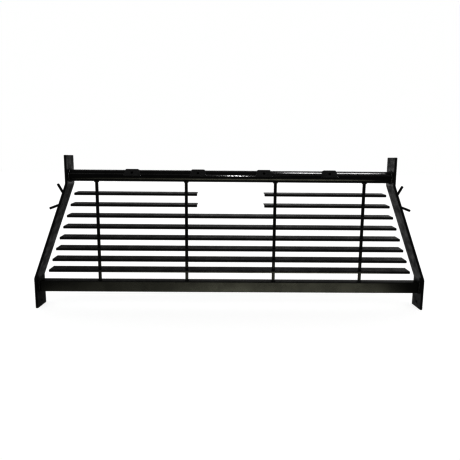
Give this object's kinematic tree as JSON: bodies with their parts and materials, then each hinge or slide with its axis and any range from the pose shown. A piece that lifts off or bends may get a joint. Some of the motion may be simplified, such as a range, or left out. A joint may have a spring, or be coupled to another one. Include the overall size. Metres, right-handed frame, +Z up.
{
  "type": "louvred truck headache rack",
  "caption": "Welded pickup headache rack: bent flat-bar sides with short horns, round top tube, base rail, louvres on round bars with a brake-light window, rope cleats and lamp pads.",
  "frame": {"origin": "middle of the two feet, on the surface they stand on (bottom centre of the bounding box)", "axes": "+X along the rack, +Y towards the cab, +Z up"},
  "size_m": [1.79, 0.0762, 0.701],
  "materials": {
    "black_powder_coat": "semi-gloss black powder coat"
  },
  "bodies": {
    "root": {"upright_left": "black_powder_coat", "upright_right": "black_powder_coat", "top_tube": "black_powder_coat", "bottom_rail": "black_powder_coat", "bar_1": "black_powder_coat", "bar_2": "black_powder_coat", "bar_3": "black_powder_coat", "bar_4": "black_powder_coat", "louvre_1_left": "black_powder_coat", "louvre_1_right": "black_powder_coat", "louvre_2_left": "black_powder_coat", "louvre_2_right": "black_powder_coat", "louvre_3": "black_powder_coat", "louvre_4": "black_powder_coat", "louvre_5": "black_powder_coat", "louvre_6": "black_powder_coat", "louvre_7": "black_powder_coat", "louvre_8": "black_powder_coat", "cleat_left": "black_powder_coat", "cleat_right": "black_powder_coat", "mounting_pad_1": "black_powder_coat", "mounting_pad_2": "black_powder_coat", "mounting_pad_3": "black_powder_coat", "mounting_pad_4": "black_powder_coat"}
  },
  "joints": []
}
